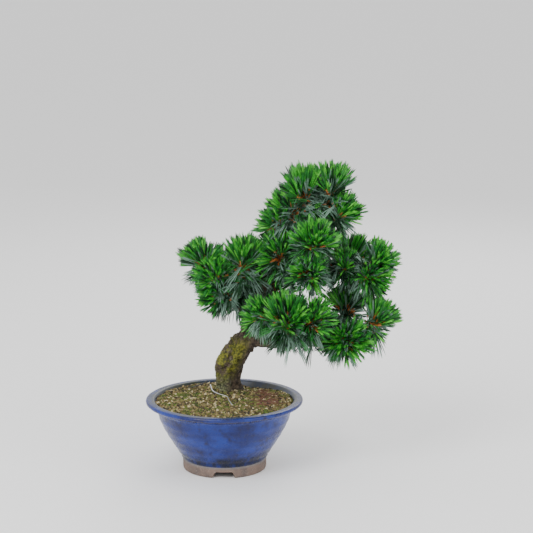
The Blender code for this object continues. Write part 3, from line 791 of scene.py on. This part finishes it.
def bark_limb(route, radii, sides, relief, seed):
    """A tube moved outwards by relief * (0.5 knobs + 0.42 plates + 0.2 grit - 0.12)."""
    points, outward = tube(route, radii, sides)
    flat = points.reshape(-1, 3)
    knobs = lattice_noise(flat * (1.0, 1.0, 0.6), KNOB_SIZE, seed)
    plates = np.tanh(3.5 * lattice_noise(flat * (1.0, 1.0, 0.5), PLATE_SIZE, seed + 7))
    grit = lattice_noise(flat, GRIT_SIZE, seed + 13)
    lift = relief * (0.5 * knobs + 0.42 * plates + 0.20 * grit - 0.12)
    lift = lift.reshape(points.shape[:2])
    lift[0] = lift[-1] = 0.0
    return points + outward * lift[..., None]


print("plates are", PLATE_SIZE, "m wide")

# %% [markdown]
# Bark is grey-brown with pale patches, and near-black specks in it are painted shade of cracks.
# Moss covers the outer side of the lower trunk: yellow-green, and grey-green near the soil where it
# is lichen. The trunk leans, so the edge of the moss leans too: it is a line in x less a share of
# the height.

# %% Bark finish
# the third bark colour, nearly black, is painted shade in the cracks
BARK = ((0.022, 0.015, 0.010), (0.110, 0.080, 0.052), (0.010, 0.007, 0.005), (0.15, 0.14, 0.095))
MOSS_SKIN = ((0.040, 0.048, 0.006), (0.210, 0.205, 0.022))
LICHEN = ((0.022, 0.024, 0.011), (0.170, 0.180, 0.085))
MOSS_LEAN = -0.42
MOSS_EDGE = (-0.118, -0.130)


def outer_side(look):
    """1 on the outer side of the leaning trunk and 0 on its inner side, from x + lean * z."""
    axes = add_node(look.tree, "SeparateXYZ", {"Vector": look.place})
    inputs = {0: axes["Z"], 1: MOSS_LEAN, 2: axes["X"]}
    return look.ramp(add_node(look.tree, "Math", inputs, operation="MULTIPLY_ADD")[0], *MOSS_EDGE)


def bark_finish(name, mossy):
    """Layers of bark and, on the trunk, of lichen and moss over them."""
    dark, plate, painted_crack_shade, pale = BARK
    look = Finish(name, 0.92)
    # the near-black layer laid over the plates is painted shade in the bark's cracks
    wood = look.stack(dark, (look.mask(150.0, 0.50, 0.12), plate),
                      (look.mask(420.0, 0.60, 0.08), painted_crack_shade), (look.mask(90.0, 0.66, 0.06), pale))
    if mossy:
        green = look.mix(look.mask(260.0, 0.5, 0.12), *MOSS_SKIN)
        low = look.mix(look.mask(320.0, 0.5, 0.12), *LICHEN)
        green = look.mix(look.height_mask(0.128, 0.150), low, green)
        cover = look.times(look.height_mask(0.212, 0.192), look.mask(48.0, 0.42, 0.07))
        wood = look.mix(look.times(cover, outer_side(look)), wood, green)
    look.drive("Base Color", wood)
    look.bump(look.mask(520.0, 0.5, 0.2), 0.0008, 0.8)
    return look.material


mossy_bark = bark_finish("mossy_bark", True)
bough_bark = bark_finish("bough_bark", False)
print(mossy_bark.name, "and", bough_bark.name)

# %% [markdown]
# The trunk spreads into roots where it meets the soil. The flare fades with the height, and
# a cosine of five times the angle makes it strongest in five directions.

# %% Trunk
TRUNK_SIDES = 88
TRUNK_RELIEF = 0.0062
FLARE_WIDTH = 0.0050
FLARE_HEIGHT = 0.011
FLARE_ROOTS = 5.0

route = smooth_route(TRUNK_ROUTE, 14)
stations = np.linspace(0.0, 1.0, len(TRUNK_RADII))
radii = np.interp(np.linspace(0.0, 1.0, len(route)), stations, TRUNK_RADII)
bark = bark_limb(route, radii, TRUNK_SIDES, TRUNK_RELIEF, 5)
away = bark - np.array((*TRUNK_FOOT, 0.0))
away[..., 2] = 0.0
angle = np.arctan2(away[..., 1], away[..., 0])
away /= np.maximum(np.linalg.norm(away, axis=-1, keepdims=True), 1e-6)
height = np.clip(bark[..., 2] - GROUND, 0.0, None)
roots = 0.6 + 0.4 * np.cos(FLARE_ROOTS * angle + 0.6)
flare = FLARE_WIDTH * roots * np.exp(-height / FLARE_HEIGHT)
flare[0] = 0.0
bark = bark + away * flare[..., None]
faces = grid_faces(len(bark), TRUNK_SIDES)
trunk = piece("bark_trunk", bark.reshape(-1, 3) + POT_AXIS, faces, [mossy_bark])
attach(trunk, "root")
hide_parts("trunk")
print("trunk has", len(faces), "faces")

# %% [markdown]
# A bough starts inside its parent limb and ends inside its mass of needles, so no end of it is
# in view. One short stump of pruned wood is left on the lowest bough.

# %% Boughs in bark
BOUGH_INSET = 0.24
BOUGH_SIDES = 28
BOUGH_SEED = 40
STUB_SHARE = 0.64
STUB_END = (0.1500, -0.0270, 0.2020)
STUB_RADII = (0.0050, 0.0042)

routes = {"trunk": smooth_route(TRUNK_ROUTE, 2)}
cut_wood = plain("cut_wood", (0.30, 0.20, 0.11), 0.8)


def limb_piece(name, route, start, end, node, finish, seed):
    """A bark tube along a limb's route, that takes the place of the limb's solid."""
    fine = smooth_route(route, 5)
    sizes = np.linspace(start, end, len(fine))
    points = bark_limb(fine, sizes, BOUGH_SIDES, 0.20 * start + 0.0006, seed)
    made = piece(name, points.reshape(-1, 3) + POT_AXIS, grid_faces(len(points), BOUGH_SIDES),
                 [finish])
    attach(made, "root")
    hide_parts(node)


for seed, (name, (parent, share, passes, start, end)) in enumerate(BOUGHS.items()):
    foot, facing, reach = MASSES[OTHER_MASS.get(name, name)][:3]
    inset = BOUGH_INSET * reach * np.array(facing) / np.linalg.norm(facing)
    knots = [place_along(routes[parent], share), *passes, np.array(foot) - inset]
    routes[name] = smooth_route(knots, 2)
    limb_piece("bark_bough_" + name, routes[name], start, end, "bough_" + name, bough_bark,
               BOUGH_SEED + seed)
stub = smooth_route([place_along(routes["low_right"], STUB_SHARE), STUB_END], 3)
limb_piece("bark_pruned_stub", stub, *STUB_RADII, "pruned_stub", cut_wood, 90)
print("limbs", len(routes) + 1)

# %% [markdown]
# Needle colours are plain, one for each kind of needle: fresh and middle green, a deep green that
# is painted shade, the blue-grey of old needles, and the bright green of this year's, made brighter
# as painted light. Brown scales sheathe the base.

# %% Colours of needles and shoots
# the third green, nearly black, is painted shade; the last is this year's green made brighter as
# painted light
NEEDLE_GREENS = ((0.060, 0.400, 0.035), (0.024, 0.190, 0.030), (0.007, 0.045, 0.013),
                 (0.170, 0.290, 0.220), (0.130, 0.560, 0.065))
FRESH, MIDDLE, SHADED_GREEN, BLUE, NEW_AND_LIT_GREEN, SHEATH = range(6)

greens = [plain("needle_%d" % n, colour, 0.45) for n, colour in enumerate(NEEDLE_GREENS)]
greens.append(plain("sheath", (0.40, 0.13, 0.035), 0.7))
twig_bark = plain("twig_bark", (0.15, 0.085, 0.045), 0.85)
candle = plain("candle", (0.50, 0.16, 0.035), 0.6)
print(len(greens), "needle materials")

# %% [markdown]
# A needle is three-sided and only has four rings, because there are tens of thousands: narrow
# at the base, wide where the sheath ends and near the tip, then to a point. It sinks with the
# square of the way along it, so an old needle droops in a curve.

# %% One needle, many times
NEEDLE_RINGS = ((0.0, 0.00003), (0.19, 0.00066), (0.82, 0.00078), (1.0, 0.00003))
SIDES = 3
BANDS = len(NEEDLE_RINGS) - 1
UP = np.array((0.0, 0.0, 1.0))


def unit(vectors):
    """Vectors scaled to a length of one."""
    return vectors / np.maximum(np.linalg.norm(vectors, axis=-1, keepdims=True), 1e-9)


def across(ways):
    """Two directions at right angles to each way and to each other."""
    helper = np.where(np.abs(ways[:, 2:3]) < 0.9, (0.0, 0.0, 1.0), (1.0, 0.0, 0.0))
    one = unit(np.cross(helper, ways))
    return one, np.cross(ways, one)


def stems_from_rings(ways, rings, sides):
    """Many straight stems as points and faces. Each ring is given by its middles and its width,
    and its points are the middle plus the width times a cosine and a sine across the way."""
    one, two = across(ways)
    turns = np.arange(sides) * 2.0 * math.pi / sides
    points = np.stack([middle + width * (one * math.cos(turn) + two * math.sin(turn))
                       for middle, width in rings for turn in turns], axis=1)
    steps = np.arange(len(ways))[:, None, None] * points.shape[1]
    faces = grid_faces(len(rings), sides)[None] + steps
    return points.reshape(-1, 3), faces.reshape(-1, 4)


def needles(starts, ways, lengths, droop):
    """Needles with their ring middles at start + way * length * share, less
    droop * length * share^2 in height."""
    rings = []
    for share, width in NEEDLE_RINGS:
        middle = starts + ways * (lengths * share)[:, None]
        middle[:, 2] -= droop * lengths * share ** 2
        rings.append((middle, width))
    return stems_from_rings(ways, rings, SIDES)


print("a needle has", BANDS * SIDES, "faces")

# %% [markdown]
# White pine needles grow in fives from one sheath. Young ones are held so tight that the five
# look like one stroke of a brush, and old ones stand apart.

# %% Tufts of five
PER_TUFT = 5
LENGTH_SPREAD = (0.93, 1.0)


def tufts(base, stroke, lengths, jitter, droop):
    """Five needles from each base: the stroke plus a normal jitter, scaled back to one."""
    five = np.repeat(stroke, PER_TUFT, axis=0)
    five = unit(five + random.normal(size=five.shape) * jitter)
    reach = np.repeat(lengths, PER_TUFT) * random.uniform(*LENGTH_SPREAD, len(five))
    return needles(np.repeat(base, PER_TUFT, axis=0), five, reach, droop)


def joined(parts):
    """Several pairs of points and faces as one pair."""
    passed = np.cumsum([0] + [len(points) for points, _ in parts])
    faces = [faces + start for (_, faces), start in zip(parts, passed)]
    return np.concatenate([points for points, _ in parts]), np.concatenate(faces)


def needle_slots(shade):
    """Material slots of each tuft's faces: the brown sheath's at the base, then its green."""
    slots = np.repeat(shade, PER_TUFT * BANDS * SIDES).reshape(-1, PER_TUFT, BANDS, SIDES)
    slots[:, :, 0] = SHEATH
    return slots.ravel()


print("a tuft has", PER_TUFT, "needles")

# %% [markdown]
# A mass has a few main shoots, spread over a cone in golden-angle order as seeds are in a
# flower, and two side shoots at random from each main one. All of them bend up a little.

# %% Shoots
GOLDEN_ANGLE = 2.399963
SIDE_SHOOTS = 2
SIDE_SPREAD = 0.36
SHOOT_RISE = 0.12
FOOT_INSET = 0.10
SIDE_START = 0.12
MAIN_STEM = 0.42
SIDE_STEM = 0.30


def shoot_ways(facing, spread, count):
    """Directions within a cone round the facing, each turned from the last by a golden angle."""
    turn = Vector(facing).normalized().to_track_quat("Z", "Y")
    index = np.arange(count)
    lean = math.radians(spread) * np.sqrt((index + 0.5) / count)
    around = index * GOLDEN_ANGLE
    local = np.stack((np.sin(lean) * np.cos(around), np.sin(lean) * np.sin(around), np.cos(lean)), -1)
    return local @ np.array(turn.to_matrix()).T


def shoots(foot, facing, reach, spread, count):
    """Where a mass's shoots start, the way they go, and how long their stems are. The main
    ones come first."""
    ahead = np.array(facing) / np.linalg.norm(facing)
    main = shoot_ways(facing, spread, count)
    twice = np.repeat(main, SIDE_SHOOTS, axis=0)
    sub = unit(twice + random.normal(size=twice.shape) * SIDE_SPREAD)
    ways = unit(np.concatenate((main, sub)) + SHOOT_RISE * UP)
    origins = np.repeat((foot - ahead * reach * FOOT_INSET)[None], len(ways), axis=0)
    origins[count:] += twice * reach * SIDE_START
    stems = reach * np.where(np.arange(len(ways)) < count, MAIN_STEM, SIDE_STEM)
    return origins, ways, stems * random.uniform(0.80, 1.10, len(ways))


print(SIDE_SHOOTS, "side shoots to each main one")

# %% [markdown]
# Young tufts stand along each stem. Low on the stem they open wide, and at its tip they close
# into a brush. They turn up to the light, and those that would pass the mass's reach are
# shortened. The outer ones are fresher and brighter, partly by painted light, and the inner ones
# are darker by painted shade.

# %% Young tufts
YOUNG = 17
YOUNG_JITTER = 0.022
YOUNG_DROOP = 0.04
YOUNG_LENGTHS = (0.62, 0.80)
OPEN_AT = (0.15, 0.6, 1.0)
OPEN_DEGREES = (58.0, 36.0, 13.0)
OPEN_SPREAD = (0.45, 1.15)
LIGHT_PULL = 0.35
REACH_SPREAD = (0.95, 1.12)
OUTER_FROM = 0.45
OUTER_SHARES = (0.36, 0.30, 0.16, 0.18)
INNER_SHARES = (0.3, 0.35, 0.35)


def young_tufts(foot, reach, origins, ways, stems):
    """The base, stroke, length and shade of each young tuft. A stroke is the stem's way times
    the cosine of the opening, plus a random outward way times its sine, plus a pull upward."""
    whose = np.repeat(np.arange(len(ways)), YOUNG)
    along = random.uniform(OPEN_AT[0], 1.0, len(whose))
    base = origins[whose] + ways[whose] * (stems[whose] * along)[:, None]
    opening = np.radians(np.interp(along, OPEN_AT, OPEN_DEGREES))
    opening = opening * random.uniform(*OPEN_SPREAD, len(whose))
    one, two = across(ways[whose])
    spin = random.uniform(0.0, 2.0 * math.pi, len(whose))
    outward = one * np.cos(spin)[:, None] + two * np.sin(spin)[:, None]
    stroke = unit(ways[whose] * np.cos(opening)[:, None] + outward * np.sin(opening)[:, None])
    stroke = unit(stroke + LIGHT_PULL * UP)
    lengths = random.uniform(*YOUNG_LENGTHS, len(whose)) * reach
    from_foot = np.linalg.norm(base + stroke * lengths[:, None] - foot, axis=1)
    allowed = reach * random.uniform(*REACH_SPREAD, len(whose)) / from_foot
    # outer tufts may take the brightest green, partly painted light; inner ones more often the deep
    # green of painted shade
    outer = random.choice((FRESH, MIDDLE, SHADED_GREEN, NEW_AND_LIT_GREEN), len(whose), p=OUTER_SHARES)
    inner = random.choice((MIDDLE, SHADED_GREEN, BLUE), len(whose), p=INNER_SHARES)
    shade = np.where(along > OUTER_FROM, outer, inner)
    return base, stroke, lengths * np.clip(allowed, 0.3, 1.0), shade


print(YOUNG, "young tufts to a shoot")

# %% [markdown]
# Old needles fill the heart of each mass. They point any way, a little forward and down, and
# droop. Half of them are blue-grey, and three in ten have the deep green of painted shade.

# %% Old tufts
OLD = 70
OLD_JITTER = 0.11
OLD_DROOP = 0.30
OLD_FORWARD = 0.35
OLD_DOWN = -0.35
OLD_LENGTHS = (0.50, 0.78)
OLD_SHARES = (0.5, 0.3, 0.2)


def old_tufts(foot, facing, reach):
    """The base, stroke, length and shade of each old tuft: random directions plus a forward
    and a downward pull."""
    ahead = np.array(facing) / np.linalg.norm(facing)
    ways = unit(random.normal(size=(OLD, 3)) + ahead * OLD_FORWARD + UP * OLD_DOWN)
    base = foot - ahead * reach * FOOT_INSET + random.normal(size=(OLD, 3)) * reach * 0.12
    lengths = random.uniform(*OLD_LENGTHS, OLD) * reach
    # three in ten old tufts take the deep green of painted shade
    return base, ways, lengths, random.choice((BLUE, SHADED_GREEN, MIDDLE), OLD, p=OLD_SHARES)


print(OLD, "old tufts to a mass")

# %% [markdown]
# Each mass becomes one joined piece that takes the place of its solid. Its stems are kept for
# the twigs and the candles.

# %% Needles of each mass
twigs, total = [], 0
for mass, (foot, facing, reach, spread, count) in MASSES.items():
    name = "foliage_" + mass
    foot = np.array(foot) + POT_AXIS
    origins, ways, stems = shoots(foot, facing, reach, spread, count)
    twigs.append((origins, origins + ways * stems[:, None]))
    base, stroke, lengths, shade = young_tufts(foot, reach, origins, ways, stems)
    old_base, old_ways, old_lengths, old_shade = old_tufts(foot, facing, reach)
    points, faces = joined([tufts(base, stroke, lengths, YOUNG_JITTER, YOUNG_DROOP),
                            tufts(old_base, old_ways, old_lengths, OLD_JITTER, OLD_DROOP)])
    tuft = piece("needles_" + mass, points, faces, greens,
                 needle_slots(np.concatenate((shade, old_shade))))
    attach(tuft, "root")
    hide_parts(name)
    total += 2 * len(faces)
print("needle triangles", total)

# %% [markdown]
# Between the masses the boughs carry short old needles of their own, so that bare wood doesn't
# show where the real tree is green. The lowest stretch beside the trunk is left bare.

# %% Needles along the boughs
INNER = 80
INNER_FROM = 0.30
INNER_PULL = (0.0, -0.1, 0.45)
INNER_LENGTHS = (0.024, 0.040)
BARE_HEIGHT = 0.222
BARE_ACROSS = 0.055
ALONG_SHARES = (0.4, 0.35, 0.25)

inner_base, inner_ways = [], []
for name in BOUGHS:
    fine = smooth_route(routes[name], 6)
    at = random.uniform(INNER_FROM, 1.0, INNER)
    stations = np.linspace(0.0, 1.0, len(fine))
    spots = np.stack([np.interp(at, stations, fine[:, axis]) for axis in range(3)], -1)
    inner_base.append(spots + POT_AXIS)
    inner_ways.append(unit(random.normal(size=(INNER, 3)) + np.array(INNER_PULL)))
base, ways = np.concatenate(inner_base), np.concatenate(inner_ways)
keep = (base[:, 2] > BARE_HEIGHT) | (base[:, 0] > BARE_ACROSS)
base, ways = base[keep], ways[keep]
# some needles along the boughs take the deep green of painted shade
shade = random.choice((BLUE, SHADED_GREEN, MIDDLE), len(base), p=ALONG_SHARES)
points, faces = tufts(base, ways, random.uniform(*INNER_LENGTHS, len(base)), 0.10, 0.25)
inner = piece("needles_inner", points, faces, greens, needle_slots(shade))
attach(inner, "root")
print("needle triangles along the boughs", 2 * len(faces))

# %% [markdown]
# Under the needles each shoot is a brown twig, and its outer half is a candle: the orange-brown
# bud scales of this year's growth, thicker than the twig and narrowing to the tip.

# %% Twigs and candles
TWIG_RADII = (0.0016, 0.0013)
CANDLE_RADII = (0.0030, 0.0010)
TWIG_SHARE = 0.5
CANDLE_FROM = 0.42
CANDLE_PAST = 0.006
STEM_SIDES = 6
END_WIDTH = 1e-6


def spikes(starts, ends, wide, thin):
    """Straight stems: rings at start and end of the wide and the thin radius, and a ring of
    nearly no width that closes each end."""
    rings = ((starts, END_WIDTH), (starts, wide + END_WIDTH), (ends, thin + END_WIDTH),
             (ends, END_WIDTH))
    return stems_from_rings(unit(ends - starts), rings, STEM_SIDES)


starts, ends = (np.concatenate([pair[n] for pair in twigs]) for n in (0, 1))
points, faces = spikes(starts, starts + (ends - starts) * TWIG_SHARE, *TWIG_RADII)
made = piece("twigs", points, faces, [twig_bark])
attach(made, "root")
past = ends + unit(ends - starts) * CANDLE_PAST
points, faces = spikes(starts + (ends - starts) * CANDLE_FROM, past, *CANDLE_RADII)
made = piece("candles", points, faces, [candle])
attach(made, "root")
print(len(starts), "shoots")

# %% [markdown]
# Two tie wires hold the roots: a bright strand that runs forward over the soil, and a dark
# pair twisted together at the left. A place is x, y and the height over the soil.

# %% Tie wires
WIRE_RADIUS = 0.0009
WIRE_LIFT = 0.0020
TWIST_RADIUS = 0.0007
TWIST_LIFT = 0.0010
TWIST_TURNS = 5.0
WIRE_SIDES = 12
WIRE_ROUTE = ((-0.0240, 0.0420, 0.0080), (-0.0190, 0.0260, 0.0020), (-0.0070, 0.0130, 0.0004),
              (0.0040, 0.0040, 0.0004), (0.0080, -0.0130, 0.0004), (0.0130, -0.0350, 0.0004))
TWIST_ROUTE = ((-0.0610, 0.0700, 0.0006), (-0.0520, 0.0650, 0.0030),
               (-0.0400, 0.0580, 0.0080), (-0.0300, 0.0520, 0.0130))


def wire_route(places, lift):
    """Places over the soil joined by a smooth curve."""
    knots = [(x, y, float(soil_height(x, y)) + over + lift) for x, y, over in places]
    return smooth_route(knots, 16)


def wire_piece(name, routes, radius, node, finish):
    """One or more strands of wire as closed tubes in one mesh."""
    strands = []
    for route in routes:
        points, _ = tube(route, np.full(len(route), radius), WIRE_SIDES)
        strands.append((points.reshape(-1, 3) + POT_AXIS, grid_faces(len(points), WIRE_SIDES)))
    made = piece(name, *joined(strands), [finish])
    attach(made, "root")
    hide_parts(node)


wire_piece("bright_wire", [wire_route(WIRE_ROUTE, WIRE_LIFT)], WIRE_RADIUS, "tie_wire",
           plain("aluminium_wire", (0.62, 0.64, 0.66), 0.35, metallic=1.0))
core = wire_route(TWIST_ROUTE, TWIST_LIFT)
turns = np.linspace(0.0, 2.0 * math.pi * TWIST_TURNS, len(core))
strands = [core + TWIST_RADIUS * np.stack((0.0 * turns, np.cos(turns + p), np.sin(turns + p)), -1)
           for p in (0.0, math.pi)]
wire_piece("twisted_wire", strands, TWIST_RADIUS, "twisted_tie",
           plain("dark_wire", (0.09, 0.085, 0.08), 0.5, metallic=0.8))
print("twisted pair has", len(strands), "strands")
